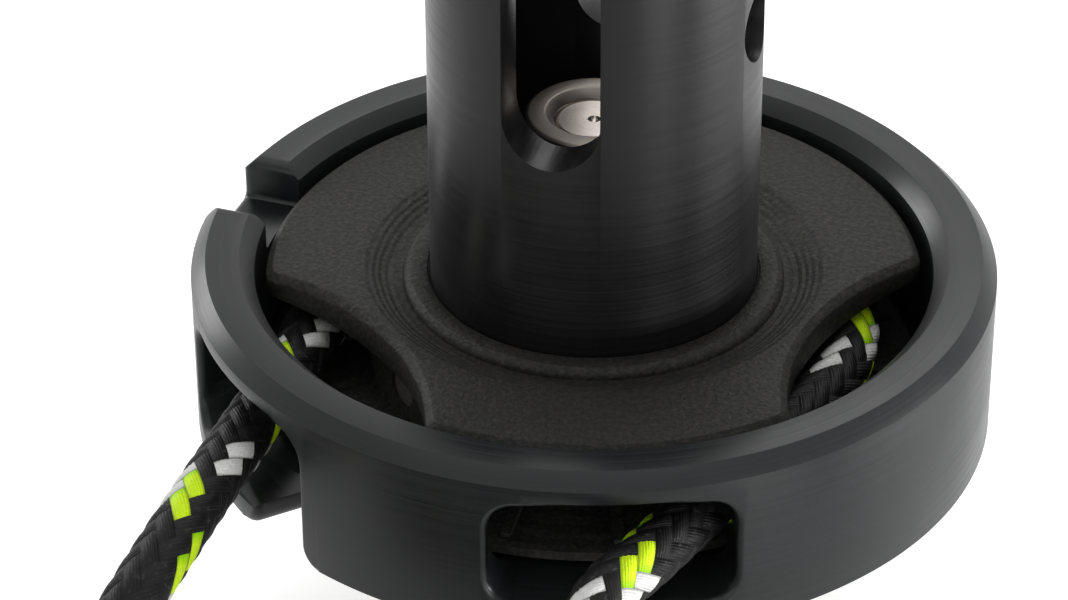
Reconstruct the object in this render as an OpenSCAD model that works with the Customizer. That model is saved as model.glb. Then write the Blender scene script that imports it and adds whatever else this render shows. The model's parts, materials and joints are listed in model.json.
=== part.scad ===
// Roller furler drum for an endless furling line.
// A scalloped drum on a forked tube turns on a ball race inside a windowed line cage.
// Millimetres, +Z up along the stay, origin at the centre of the lower clevis bore.
// Azimuths are counted from -Y towards +X.

/* [Line cage] */
// Outside diameter of the cage
cage_d = 62.5; // [60:0.5:68]
// Thickness of the cage wall
cage_wall = 4.9; // [4:0.1:5.5]
// Height of the cage, underside to rim
cage_h = 14.3; // [14:0.1:16]
// Thickness of the cage floor
cage_floor = 2.5; // [2.2:0.1:3]
// Chamfer on the two edges of the rim
rim_chamfer = 1.15; // [0.4:0.05:1.5]
// Chamfer on the foot of the wall
foot_chamfer = 0.4; // [0.2:0.1:0.8]
// Height of the rim band above the windows
rim_band = 3; // [2.4:0.1:3.6]
// Width of each line window
window_w = 18; // [15:0.5:20]
// Angle between the middles of the two windows
window_spread = 64.2; // [58:0.2:76]
// Corner radius of the windows
window_r = 2.2; // [1:0.1:3]
// Width of the line slot through the floor at the inner end of the left window
line_slot_w = 5.2; // [4.8:0.1:6]
// Radius that eases the mouth of the line slot
line_slot_ease = 2; // [0.8:0.1:2.2]
// Reach of the line slot in from the wall's inner face
line_slot_reach = 3; // [1:0.5:5]
// Width of the notch in the rim
notch_w = 7; // [5:0.5:9]
// Depth of the notch in the rim
notch_depth = 3.5; // [2.5:0.1:4]
// Corner radius at the bottom of the notch
notch_r = 1.2; // [0.5:0.1:2]

/* [Drum] */
// Running gap between the cheeks and the cage wall
drum_gap = 0.85; // [0.5:0.05:1.2]
// Running gap between the lower cheek and the cage floor
floor_gap = 0.4; // [0.3:0.05:0.6]
// Drop of the upper cheek's top below the rim
cheek_drop = 1.3; // [1:0.1:1.6]
// Thickness of the upper cheek at its edge
cheek_edge_t = 1.95; // [1.6:0.05:2.2]
// Thickness of the lower cheek at its edge
lower_edge_t = 0.75; // [0.6:0.05:1]
// Rise of each groove flank from cheek edge to groove root
flank_rise = 1.2; // [0.9:0.05:1.3]
// Diameter at the groove root
groove_root_d = 35; // [33.5:0.5:35.2]
// Radius of the scallops
scallop_r = 22; // [18:0.5:26]
// Diameter of the circle that touches the bottoms of the scallops
scallop_floor_d = 37.8; // [37:0.2:41]
// Corner radius of the lobes
lobe_r = 1.6; // [0.8:0.1:2.4]
// Bevel on the cheek edges
edge_bevel = 0.6; // [0.3:0.05:0.8]
// Number of lobes
lobes = 3; // [3]
// Diameter of the collar round the tube
collar_d = 29.7; // [28.6:0.1:31]
// Radius of the collar's shoulder
collar_r = 0.8; // [0.4:0.1:0.9]
// Drop of the collar's top below the cheek's top
collar_drop = 0.35; // [0.1:0.05:0.6]
// Depth of the dish round the collar
dish_depth = 1.2; // [1:0.05:1.4]
// Width of the dish from the collar to the cheek's flat top
dish_w = 3.8; // [3:0.1:4.2]
// Number of grip ribs on each flank
rib_count = 18; // [12:3:24]
// Width of a grip rib
rib_w = 0.8; // [0.5:0.1:1.2]
// Height of a grip rib
rib_h = 0.35; // [0.2:0.05:0.4]
// Gap from the groove root to the ribs
rib_root_gap = 0.6; // [0.4:0.1:1]
// Gap from the ribs to the cheek's edge
rib_edge_gap = 0.9; // [0.6:0.1:1.4]

/* [Tube] */
// Outside diameter of the tube
tube_d = 25.4; // [24:0.1:26]
// Bore of the tube above its inner shoulder
tube_bore = 18; // [17.4:0.1:19]
// Top of the tube above the rim
tube_rise = 33; // [30:0.5:40]
// Width of the fork slot
fork_slot_w = 7.5; // [6:0.1:9]
// Bottom of the fork slot above the rim
fork_slot_rise = 14.2; // [13:0.1:16]
// Diameter of the clevis pin holes, upper and lower
pin_d = 6.4; // [5:0.1:7]
// Height of the upper clevis pin above the rim
pin_rise = 22; // [20:0.5:24]
// Thickness of the inner shoulder that carries the race
shoulder_t = 4; // [3:0.1:4.4]
// Chamfer at the top of the tube
tube_chamfer = 0.8; // [0.4:0.1:1.2]
// Drop of the inner shoulder below the rim
shoulder_drop = 1.9; // [1.6:0.1:2.2]
// Rise of the tube's foot above the lower cheek's underside
tube_foot = 0.3; // [0.2:0.05:0.4]

/* [Spindle and bearings] */
// Diameter of the spindle
spindle_d = 8; // [7.4:0.1:8.4]
// Diameter of the stud on the spindle's end
stud_d = 6; // [5:0.1:6.4]
// Outside diameter of the spindle nut
nut_d = 10.6; // [9.8:0.1:12]
// Top of the spindle nut above the rim
nut_rise = 12.2; // [11:0.1:13]
// Drop of the stud's end below the nut's top
stud_drop = 0.7; // [0.3:0.1:1]
// Radius of the centre mark in the stud's end
centre_mark_r = 0.5; // [0.3:0.05:0.8]
// Ball diameter
ball_d = 3; // [2.6:0.1:3.2]
// Number of balls
ball_count = 10; // [6:1:10]
// Diameter of the ball circle
ball_circle_d = 13.2; // [13:0.1:13.4]
// Thickness of each race
race_t = 2; // [1.8:0.1:2.4]
// Gap between the two races' faces
race_gap = 1.8; // [1.6:0.1:2]
// Thickness of the ball retainer
retainer_t = 1; // [0.8:0.1:1.1]
// Width of the retainer's rims inside and outside the balls
retainer_rim = 0.45; // [0.3:0.05:0.5]
// Outside diameter of the bush
bush_d = 16; // [13:0.1:17]
// Diameter of the bush flange
bush_flange_d = 20; // [18:0.1:22]
// Radial running clearance of the bush on the spindle
running_gap = 0.05; // [0.02:0.01:0.08]
// Radial clearance between pieces that are fixed to each other
seat_gap = 0.03; // [0.02:0.01:0.06]
// Radial clearance of the tube's shoulder and its race round the spindle
shaft_gap = 0.6; // [0.4:0.05:0.8]

/* [Lower fork] */
// Height from the clevis bore to the cage's underside
fork_drop = 16; // [15:0.5:20]
// Thickness of the fork's base
fork_base_t = 7; // [6:0.1:7.4]
// Diameter of the fork's base
fork_base_d = 24; // [23.6:0.1:28]
// Gap between the ears
fork_gap = 8; // [7:0.1:9]
// Thickness of each ear
ear_t = 5; // [4:0.1:5.2]
// Radius of the ears' round ends
ear_r = 7.5; // [6:0.1:7.6]

/* [Fasteners] */
// Thread diameter of the cage screws
cage_screw_d = 3; // [2.5:0.1:3.2]
// Diameter of the circle of cage screws
cage_screw_circle = 16.6; // [16:0.1:17.4]
// Length of the cage screws
cage_screw_l = 8; // [6:0.1:8.4]
// Thread diameter of the cheek screws
cheek_screw_d = 1.6; // [1.4:0.1:2]
// Length of the cheek screws
cheek_screw_l = 8.4; // [8:0.1:8.6]
// Diameter of the grub screws
grub_d = 3; // [2:0.1:3]
// Depth of the grub screws' seats in the tube
grub_depth = 0.8; // [0.4:0.1:1.2]
// Diameter of the pin through fork and spindle
spindle_pin_d = 2.5; // [2:0.1:3]
// Diameter of the lock pin through the nut
lock_pin_d = 1.5; // [1:0.1:2]
// Depth of the pins' and grub screws' ends below the faces round them
end_recess = 0.3; // [0.2:0.05:0.5]

/* [Furling line] */
// Diameter of the line
line_d = 4.5; // [3.8:0.1:4.6]
// Gap between the line's wrap and the groove root
wrap_gap = 0.45; // [0.3:0.05:0.8]
// Heading of the leg in the left window, from the exits' middle
left_heading = 11.5; // [6:0.5:14]
// Heading of the leg in the right window, from the exits' middle
right_heading = -3.5; // [-8:0.5:0]

/* [Pose] */
// Azimuth of the middle between the two windows
exit_turn = -14.1; // [-30:0.1:30]
// Azimuth of the notch in the rim
notch_turn = -93.2; // [-110:0.1:-80]
// Azimuth of the first lobe
lobe_turn = 18.2; // [0:0.1:60]

/* [Hidden] */
$fn = 96;
// Overlap of cutting shapes past the faces they cut
cut = 1;
// Flats in each round corner of the windows
arc_steps = 6;

// Head radius, head depth and socket of a countersunk screw, as shares of its thread
csk_head = 0.93;
csk_depth = 0.43;
csk_socket = 0.34;

// Heights
floor_z = fork_drop + cage_floor;
rim_z = fork_drop + cage_h;
cheek_z = rim_z - cheek_drop;
upper_edge_z = cheek_z - cheek_edge_t;
upper_root_z = upper_edge_z - flank_rise;
lower_z = floor_z + floor_gap;
lower_edge_z = lower_z + lower_edge_t;
lower_root_z = lower_edge_z + flank_rise;
line_z = (upper_root_z + lower_root_z) / 2;
nut_top_z = rim_z + nut_rise;
tube_top_z = rim_z + tube_rise;
bush_flange_t = lower_z + tube_foot - floor_z - running_gap;
tube_z = floor_z + running_gap + bush_flange_t;
fork_base_z = fork_drop - fork_base_t;

// Bearing stack, from the tube's shoulder up to the nut
shoulder_z = rim_z - shoulder_drop;
lower_race_top = shoulder_z + race_t;
ball_z = lower_race_top + race_gap / 2;
upper_race_z = lower_race_top + race_gap;
nut_z = upper_race_z + race_t;
race_groove_r = ball_d / 2 + running_gap;
race_ring_w = ball_circle_d / 2 - spindle_d / 2 - shaft_gap;

// Radii
cage_r = cage_d / 2;
cage_in_r = cage_r - cage_wall;
cheek_r = cage_in_r - drum_gap;
root_r = groove_root_d / 2;
tube_r = tube_d / 2;
hub_bore_r = tube_r + seat_gap;
hub_mid_r = (hub_bore_r + root_r) / 2;
spindle_r = spindle_d / 2;

// The line's route: a wrap in the groove, then a leg out through each window
line_r = line_d / 2;
wrap_r = root_r + wrap_gap + line_r;
lead_step = 6;
lead_run = 30;
ground_z = -ear_r;
tie_t = 0.8;
tie_w = 9;
coil_columns = 5;
coil_rows = 4;
coil_mid_r = 27;
coil_centre = [8, -94];
coil_z = ground_z + tie_t;
coil_half_w = coil_columns * line_d / 2;
coil_top_z = coil_z + coil_rows * line_d;
coil_edge_r = coil_mid_r + coil_half_w;
line_sides = 10;
// Left leg after its straight lead: it falls to the ground and runs into the coil
left_points = [[-12.8, -39, 23], [-12.3, -45, 21.4], [-12.8, -50.5, 17.8], [-14.2, -55.5, 13], [-16.2, -60, 8],
    [-18.6, -64.5, 3.4], [-21.4, -69.5, -0.6], [-24.2, -75, -3.2], [-26.6, -81, -4.3], [-27.8, -87.5, -4.45],
    [-28, -94, -4.45]];
// Right leg after its lap on top of the coil, back to the window
right_points = [[43.7, -86.5, 13.6], [42.2, -79, 13.7], [39.2, -71.5, 13.9], [35.2, -64.5, 14.6], [30.8, -58, 15.9],
    [26.4, -51.5, 17.7], [22.4, -45, 19.9], [19.6, -38, 22.1]];
lap_steps = 10;

// Point at a radius and an azimuth
function polar(r, azimuth, z = 0) = [r * sin(azimuth), -r * cos(azimuth), z];
// Point on a leg that leaves the wrap at a tangent; side is -1 for the left leg and 1 for the right
function leg_point(heading, side, run) =
    polar(wrap_r, heading + 90 * side, line_z) + polar(run, heading);
function unit(v) = v / norm(v);
// Direction of a route at one of its points
function tangent(route, i) =
    unit(route[min(i + 1, len(route) - 1)] - route[max(i - 1, 0)]);
// One ring of a tube, square to the route
function ring(route, i, r, sides) =
    let (t = tangent(route, i), s = unit(cross(t, [0, 0, 1])), u = cross(s, t))
    [for (k = [0 : sides - 1]) route[i] + r * (cos(360 * k / sides) * s + sin(360 * k / sides) * u)];

// Tube swept along a route
module swept_tube(route, r, sides) {
    rings = len(route);
    points = [for (i = [0 : rings - 1]) each ring(route, i, r, sides)];
    walls = [for (i = [0 : rings - 2], k = [0 : sides - 1])
        let (a = i * sides + k, b = i * sides + (k + 1) % sides)
        each [[a, a + sides, b], [b, a + sides, b + sides]]];
    first_cap = [for (k = [0 : sides - 1]) k];
    last_cap = [for (k = [sides - 1 : -1 : 0]) (rings - 1) * sides + k];
    polyhedron(points, concat([first_cap, last_cap], walls), convexity = 10);
}

// Cylinder between two heights
module post(r, z0, z1) {
    translate([0, 0, z0]) cylinder(r = r, h = z1 - z0);
}

// Cone between two heights
module taper(r0, r1, z0, z1) {
    translate([0, 0, z0]) cylinder(r1 = r0, r2 = r1, h = z1 - z0);
}

// Ring between two radii and two heights
module washer(r_in, r_out, z0, z1) {
    rotate_extrude() translate([r_in, z0]) square([r_out - r_in, z1 - z0]);
}

// Round rod along the X axis
module cross_rod(r, length) {
    rotate([0, 90, 0]) cylinder(r = r, h = length, center = true);
}

// Copies at equal angles round the axis
module around(count, start = 0) {
    for (i = [0 : count - 1]) rotate(start + 360 * i / count) children();
}

// Countersunk screw that points down from its flat head at z = 0, with a hex socket
module csk_screw(d, length) {
    difference() {
        rotate_extrude() polygon([
            [0, 0], [d * csk_head, 0], [d / 2, -d * csk_depth], [d / 2, -length], [0, -length]]);
        translate([0, 0, -d * csk_socket]) cylinder(r = d * csk_socket, h = d, $fn = 6);
    }
}

// Seat for a countersunk screw with its head at z = 0
module csk_seat(d, length) {
    head_r = d * csk_head + seat_gap;
    hole_r = d / 2 + seat_gap;
    bottom = -length - seat_gap;
    rotate_extrude() polygon([
        [0, cut], [head_r, cut], [head_r, 0], [hole_r, -d * csk_depth], [hole_r, bottom], [0, bottom]]);
}

// Outline of a rectangle with round corners, centred in x, up from y0
module round_window(w, y0, y1, r) {
    translate([-w / 2, y0 + r]) square([w, y1 - y0 - 2 * r]);
    translate([-w / 2 + r, y0]) square([w - 2 * r, y1 - y0]);
    for (x = [-w / 2 + r, w / 2 - r], y = [y0 + r, y1 - r]) translate([x, y]) circle(r);
}

// Arc in the plane of an outline
function arc_points(x, y, r, first, last) = [for (i = [0 : arc_steps])
    let (a = first + (last - first) * i / arc_steps) [x + r * cos(a), y + r * sin(a)]];

// Corners shared by both windows: upper right, upper left and lower left
function window_corners() = let (x = window_w / 2 - window_r, top = rim_z - rim_band - window_r) concat(
    arc_points(x, top, window_r, 0, 90), arc_points(-x, top, window_r, 90, 180),
    arc_points(-x, floor_z + window_r, window_r, 180, 270));

// Right window, closed by its fourth corner
function plain_window() = concat(window_corners(),
    arc_points(window_w / 2 - window_r, floor_z + window_r, window_r, 270, 360));

// Left window, with the line slot through the floor at its inner end and the slot's eased mouth
function slotted_window() = let (
    x1 = window_w / 2, x0 = x1 - line_slot_w, e = line_slot_ease, z = fork_drop + e, low = fork_drop - cut) concat(
    window_corners(), [[x0, floor_z]], arc_points(x0 - e, z, e, 0, -90), [[x0 - e, low], [x1 + e, low]],
    arc_points(x1 + e, z, e, 270, 180));

// Extrudes an outline in x and z out through the cage wall, towards -Y
module through_wall(start_r) {
    translate([0, -start_r, 0]) rotate([90, 0, 0]) linear_extrude(cage_r - start_r + cut) children();
}

// Cup with two windows, the line slot, the rim notch and the floor's holes
module line_cage() {
    color("#2c2d2f") difference() {
        rotate_extrude() polygon([
            [0, fork_drop], [cage_r - foot_chamfer, fork_drop], [cage_r, fork_drop + foot_chamfer],
            [cage_r, rim_z - rim_chamfer], [cage_r - rim_chamfer, rim_z], [cage_in_r + rim_chamfer, rim_z],
            [cage_in_r, rim_z - rim_chamfer], [cage_in_r, floor_z], [0, floor_z]]);
        for (side = [-1, 1]) rotate(exit_turn + side * window_spread / 2)
            through_wall(cage_in_r - line_slot_reach) polygon(side < 0 ? slotted_window() : plain_window());
        rotate(notch_turn) through_wall(cage_in_r - cut)
            round_window(notch_w, rim_z - notch_depth, rim_z + notch_depth, notch_r);
        post(spindle_r + seat_gap, fork_drop - cut, floor_z + cut);
        around(3) translate([cage_screw_circle / 2, 0, floor_z]) csk_seat(cage_screw_d, cage_screw_l);
    }
}

module cage_screws() {
    color("#b9bcc0") around(3) translate([cage_screw_circle / 2, 0, floor_z])
        csk_screw(cage_screw_d, cage_screw_l);
}

// Clevis under the cage, its bore along X
module lower_fork() {
    color("#b9bcc0") difference() {
        union() {
            post(fork_base_d / 2, fork_base_z, fork_drop);
            for (side = [-1, 1]) translate([side * (fork_gap + ear_t) / 2, 0, 0]) {
                cross_rod(ear_r, ear_t);
                translate([-ear_t / 2, -ear_r, 0]) cube([ear_t, 2 * ear_r, fork_base_z + cut]);
            }
        }
        cross_rod(pin_d / 2, fork_base_d + 2 * cut);
        post(spindle_r + seat_gap, fork_base_z - cut, fork_drop + cut);
        translate([0, 0, spindle_pin_z()]) rotate(90)
            cross_rod(spindle_pin_d / 2 + seat_gap, fork_base_d + 2 * cut);
        around(3) translate([cage_screw_circle / 2, 0, floor_z]) csk_seat(cage_screw_d, cage_screw_l);
    }
}

function spindle_pin_z() = fork_drop - fork_base_t / 2;
function lock_pin_z() = nut_z + (nut_top_z - nut_z) / 3;

// Fixed shaft from the fork to the nut, with a centre mark in its end
module spindle() {
    stud_top = nut_top_z - stud_drop;
    color("#c6c8cb") difference() {
        rotate_extrude() polygon([
            [0, fork_base_z], [spindle_r, fork_base_z], [spindle_r, nut_z], [stud_d / 2, nut_z],
            [stud_d / 2, stud_top], [centre_mark_r, stud_top], [0, stud_top - centre_mark_r]]);
        translate([0, 0, spindle_pin_z()]) rotate(90)
            cross_rod(spindle_pin_d / 2 + seat_gap, spindle_d + 2 * cut);
        translate([0, 0, lock_pin_z()]) rotate(90) cross_rod(lock_pin_d / 2 + seat_gap, spindle_d + 2 * cut);
    }
}

module spindle_pin() {
    color("#a9adb2") translate([0, 0, spindle_pin_z()]) rotate(90)
        cross_rod(spindle_pin_d / 2, fork_base_d - 2 * end_recess);
}

// Round nut on the stud, its thread's mouth countersunk
module spindle_nut() {
    bore_r = stud_d / 2 + seat_gap;
    color("#8f9296") difference() {
        rotate_extrude() polygon([
            [bore_r, nut_z], [nut_d / 2, nut_z], [nut_d / 2, nut_top_z], [bore_r + stud_drop, nut_top_z],
            [bore_r, nut_top_z - stud_drop]]);
        translate([0, 0, lock_pin_z()]) rotate(90) cross_rod(lock_pin_d / 2 + seat_gap, nut_d + 2 * cut);
    }
}

module nut_lock_pin() {
    color("#a9adb2") translate([0, 0, lock_pin_z()]) rotate(90) cross_rod(lock_pin_d / 2, nut_d - 2 * end_recess);
}

// Groove that the balls run in
module ball_groove() {
    rotate_extrude() translate([ball_circle_d / 2, ball_z]) circle(race_groove_r, $fn = 48);
}

// Fixed race under the nut
module upper_race() {
    color("#c6c8cb") difference() {
        washer(spindle_r + seat_gap, ball_circle_d / 2 + race_ring_w, upper_race_z, nut_z);
        ball_groove();
    }
}

module bearing_balls() {
    color("#d8dadd") around(ball_count) translate([0, -ball_circle_d / 2, ball_z])
        sphere(d = ball_d, $fn = 32);
}

// Flat ring with a pocket for each ball
module ball_retainer() {
    pocket_r = ball_d / 2 + running_gap;
    half_w = pocket_r + retainer_rim;
    color("#b08d57") difference() {
        washer(ball_circle_d / 2 - half_w, ball_circle_d / 2 + half_w,
            ball_z - retainer_t / 2, ball_z + retainer_t / 2);
        around(ball_count) translate([0, -ball_circle_d / 2, 0])
            post(pocket_r, ball_z - ball_d, ball_z + ball_d);
    }
}

// Race on the tube's shoulder, turning with the tube
module lower_race() {
    color("#c6c8cb") difference() {
        washer(spindle_r + shaft_gap, tube_bore / 2 - seat_gap, shoulder_z, lower_race_top);
        ball_groove();
    }
}

// Flanged acetal bush in the foot of the tube
module spindle_bush() {
    bore_r = spindle_r + running_gap;
    foot_z = floor_z + running_gap;
    top_z = shoulder_z - shoulder_t - seat_gap;
    color("#e8e6df") rotate_extrude() polygon([
        [bore_r, foot_z], [bush_flange_d / 2, foot_z], [bush_flange_d / 2, tube_z],
        [bush_d / 2 - seat_gap, tube_z], [bush_d / 2 - seat_gap, top_z], [bore_r, top_z]]);
}

// Tube with the fork at its top, the race shoulder inside and the bush seat at its foot
module drum_tube() {
    slot_z = rim_z + fork_slot_rise + fork_slot_w / 2;
    color("#303134") difference() {
        rotate_extrude() polygon([
            [tube_bore / 2, shoulder_z], [tube_bore / 2, tube_top_z - tube_chamfer / 2],
            [tube_bore / 2 + tube_chamfer / 2, tube_top_z], [tube_r - tube_chamfer, tube_top_z],
            [tube_r, tube_top_z - tube_chamfer], [tube_r, tube_z], [bush_d / 2, tube_z],
            [bush_d / 2, shoulder_z - shoulder_t], [spindle_r + shaft_gap, shoulder_z - shoulder_t],
            [spindle_r + shaft_gap, shoulder_z]]);
        translate([-fork_slot_w / 2, -tube_d, slot_z]) cube([fork_slot_w, 2 * tube_d, tube_rise]);
        translate([0, 0, slot_z]) rotate(90) cross_rod(fork_slot_w / 2, 2 * tube_d);
        translate([0, 0, rim_z + pin_rise]) cross_rod(pin_d / 2, tube_d + 2 * cut);
        grub_places() cross_rod_out(grub_d / 2 + seat_gap, tube_r - grub_depth - seat_gap, tube_r + cut);
    }
}

// Radial rod towards -Y between two radii, at the line's height
module cross_rod_out(r, r_in, r_out) {
    translate([0, -r_in, line_z]) rotate([90, 0, 0]) cylinder(r = r, h = r_out - r_in);
}

module grub_places() {
    around(lobes, lobe_turn + 180 / lobes) children();
}

// Top of the upper cheek from the collar out over the dish, in radius and height
function dish_profile() = [for (i = [0 : 8])
    [collar_d / 2 + dish_w * i / 8, cheek_z - dish_depth * (1 + cos(180 * i / 8)) / 2]];

// Shoulder of the collar, from its flat top down its side
function collar_profile() = [for (a = [90 : -15 : 0])
    [collar_d / 2 - collar_r + collar_r * cos(a), cheek_z - collar_drop - collar_r + collar_r * sin(a)]];

// Grip rib on a flank that runs from (root_r, root_z) to (cheek_r, edge_z)
module flank_rib(root_z, edge_z, side) {
    rib_in = root_r + rib_root_gap;
    rib_out = cheek_r - rib_edge_gap;
    slope = (edge_z - root_z) / (cheek_r - root_r);
    z_in = root_z + slope * (rib_in - root_r);
    z_out = root_z + slope * (rib_out - root_r);
    rotate([90, 0, -90]) linear_extrude(rib_w, center = true) polygon([
        [rib_in, z_in - side * rib_h], [rib_out, z_out - side * rib_h],
        [rib_out, z_out + side * rib_h], [rib_in, z_in + side * rib_h]]);
}

// One scallop towards -Y, cut through the cheek and bevelled at its top edge
module scallop() {
    centre = scallop_floor_d / 2 + scallop_r;
    translate([0, -centre, 0]) {
        post(scallop_r, upper_root_z - cut, cheek_z + cut);
        taper(scallop_r, scallop_r + edge_bevel + cut, cheek_z - edge_bevel, cheek_z + cut);
    }
    for (side = [-1, 1]) lobe_corner(centre, side);
}

// Material outside the round corner between a scallop and the cheek's edge
module lobe_corner(centre, side) {
    arm = cheek_r - lobe_r;
    turn = acos((arm * arm + centre * centre - pow(scallop_r + lobe_r, 2)) / (2 * arm * centre));
    middle = polar(arm, side * turn);
    to_edge = unit(middle);
    to_scallop = unit([0, -centre, 0] - middle);
    to_tip = unit(to_edge + to_scallop);
    // Three flats stand in for the round corner, and the outer two run on past it
    turns = [to_edge, unit(2 * to_edge + to_tip), unit(2 * to_scallop + to_tip), to_scallop];
    rounds = [for (v = turns) lobe_r * [v.x, v.y]];
    reach = 3 * lobe_r;
    corner = [2 * rounds[0] - rounds[1], rounds[1], rounds[2], 2 * rounds[3] - rounds[2],
        reach * [to_scallop.x, to_scallop.y], 1.5 * reach * [to_tip.x, to_tip.y], reach * [to_edge.x, to_edge.y]];
    translate([middle.x, middle.y, upper_root_z - cut]) linear_extrude(cheek_z - upper_root_z + 2 * cut)
        polygon(corner);
}

module cheek_screw_places() {
    around(lobes, lobe_turn) translate([0, -hub_mid_r, lower_z]) rotate([180, 0, 0]) children();
}

// Scalloped cheek with its dished top and collar
module upper_cheek() {
    color("#3a3836") difference() {
        union() {
            rotate_extrude() polygon(concat(
                [[hub_bore_r, upper_root_z], [root_r, upper_root_z], [cheek_r, upper_edge_z],
                [cheek_r, cheek_z - edge_bevel], [cheek_r - edge_bevel, cheek_z]],
                [for (i = [8 : -1 : 0]) dish_profile()[i]],
                [for (i = [len(collar_profile()) - 1 : -1 : 0]) collar_profile()[i]],
                [[hub_bore_r, cheek_z - collar_drop]]));
            around(rib_count) flank_rib(upper_root_z, upper_edge_z, -1);
        }
        around(lobes, lobe_turn + 180 / lobes) scallop();
        cheek_screw_places() csk_seat(cheek_screw_d, cheek_screw_l);
    }
}

// Ring at the bottom of the groove
module grip_core() {
    color("#3a3836") difference() {
        washer(hub_bore_r, root_r, lower_root_z, upper_root_z);
        cheek_screw_places() csk_seat(cheek_screw_d, cheek_screw_l);
        grub_places() cross_rod_out(grub_d / 2 + seat_gap, tube_r - cut, root_r + cut);
    }
}

// Plain round cheek under the groove
module lower_cheek() {
    color("#2f3032") difference() {
        union() {
            rotate_extrude() polygon([
                [hub_bore_r, lower_z], [cheek_r, lower_z], [cheek_r, lower_edge_z], [root_r, lower_root_z],
                [hub_bore_r, lower_root_z]]);
            around(rib_count) flank_rib(lower_root_z, lower_edge_z, 1);
        }
        cheek_screw_places() csk_seat(cheek_screw_d, cheek_screw_l);
    }
}

module cheek_screws() {
    color("#b9bcc0") cheek_screw_places() csk_screw(cheek_screw_d, cheek_screw_l);
}

module grub_screws() {
    color("#8f9296") grub_places() cross_rod_out(grub_d / 2, tube_r - grub_depth, root_r - end_recess);
}

// Line held in the groove
module line_wrap() {
    color("#26272a") rotate(exit_turn) translate([0, 0, line_z]) rotate(right_heading)
        rotate_extrude(angle = 180 + left_heading - right_heading) translate([wrap_r, 0]) circle(line_r);
}

module line_left_leg() {
    lead = [for (run = [0 : lead_step : lead_run]) leg_point(left_heading, -1, run)];
    color("#26272a") rotate(exit_turn) swept_tube(concat(lead, left_points), line_r, line_sides);
}

module line_right_leg() {
    lap_r = coil_edge_r - line_r;
    lap = [for (i = [0 : lap_steps]) let (a = -90 + 180 * i / lap_steps)
        polar(lap_r, a, coil_top_z + line_r) + [coil_centre.x, coil_centre.y, 0]];
    lead = [for (run = [lead_run : -lead_step : 0]) leg_point(right_heading, 1, run)];
    color("#26272a") rotate(exit_turn) swept_tube(concat(lap, right_points, lead), line_r, line_sides);
}

// Outer shape of the coiled line
module line_coil() {
    corner = line_r;
    color("#26272a") rotate(exit_turn) translate(coil_centre) rotate_extrude()
        translate([coil_mid_r, 0]) round_window(2 * coil_half_w, coil_z, coil_top_z, corner);
}

// Strap round the coil on its side towards the drum
module coil_tie() {
    inner_w = 2 * coil_half_w + 2 * seat_gap;
    color("#3c3d40") rotate(exit_turn) translate([coil_centre.x, coil_centre.y + coil_mid_r, 0])
        rotate([90, 0, 90]) linear_extrude(tie_w, center = true) difference() {
            round_window(inner_w + 2 * tie_t, ground_z, coil_top_z + tie_t + seat_gap, line_r + tie_t);
            round_window(inner_w, coil_z, coil_top_z + seat_gap, line_r);
        }
}

line_cage();
cage_screws();
lower_fork();
spindle();
spindle_pin();
spindle_nut();
nut_lock_pin();
upper_race();
bearing_balls();
ball_retainer();
lower_race();
spindle_bush();
drum_tube();
upper_cheek();
grip_core();
lower_cheek();
cheek_screws();
grub_screws();
line_wrap();
line_left_leg();
line_right_leg();
line_coil();
coil_tie();
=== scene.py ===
import json
from functools import partial
from math import acos, atan2, ceil, cos, floor, hypot, pi, radians, sin, sqrt
import bmesh
import bpy
from mathutils import Euler, Matrix, Vector


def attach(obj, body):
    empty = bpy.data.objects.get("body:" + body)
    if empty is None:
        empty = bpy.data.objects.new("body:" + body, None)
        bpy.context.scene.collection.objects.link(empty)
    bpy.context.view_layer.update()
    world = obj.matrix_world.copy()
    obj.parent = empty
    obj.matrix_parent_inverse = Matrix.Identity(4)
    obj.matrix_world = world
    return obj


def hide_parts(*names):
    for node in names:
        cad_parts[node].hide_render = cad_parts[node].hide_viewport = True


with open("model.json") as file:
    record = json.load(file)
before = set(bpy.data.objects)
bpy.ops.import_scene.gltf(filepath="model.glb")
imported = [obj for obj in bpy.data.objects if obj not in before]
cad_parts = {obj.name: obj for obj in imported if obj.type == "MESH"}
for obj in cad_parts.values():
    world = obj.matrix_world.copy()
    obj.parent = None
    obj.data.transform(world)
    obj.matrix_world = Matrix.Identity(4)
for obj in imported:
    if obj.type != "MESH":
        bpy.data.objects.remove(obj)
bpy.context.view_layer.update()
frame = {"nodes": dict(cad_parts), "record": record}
nodes = frame["nodes"]
scene = bpy.context.scene
MM = 0.001

# Sizes from part.scad, in millimetres and degrees
CAGE_R, CAGE_IN, UNDER_Z, FLOOR_Z, RIM_Z = 31.25, 26.35, 16.0, 18.5, 30.3
RIM_CHAMFER, RIM_BAND, FOOT_CHAMFER, SPINDLE_HOLE_R = 1.15, 3.0, 0.4, 4.03
WINDOW_W, WINDOW_R, SLOT_W, SLOT_EASE, SLOT_REACH = 18.0, 2.2, 5.2, 2.0, 3.0
NOTCH_W, NOTCH_DEPTH = 7.0, 3.5
CHEEK_R, CHEEK_Z, EDGE_Z, ROOT_Z, ROOT_R, HUB_R = 25.5, 29.0, 27.05, 25.85, 17.5, 12.73
SCALLOP_R, SCALLOP_FLOOR, LOBE_R = 22.0, 18.9, 1.6
COLLAR_R, COLLAR_ROUND, COLLAR_DROP, DISH_DEPTH, DISH_W = 14.85, 0.8, 0.35, 1.2, 3.8
RIBS, RIB_W, RIB_H, RIB_SUNK = 18, 0.8, 0.35, 0.3
TUBE_R, TUBE_BORE_R, BUSH_R, SHAFT_GAP_R, TUBE_TOP, TUBE_Z = 12.7, 9.0, 8.0, 4.6, 63.3, 19.2
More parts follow.
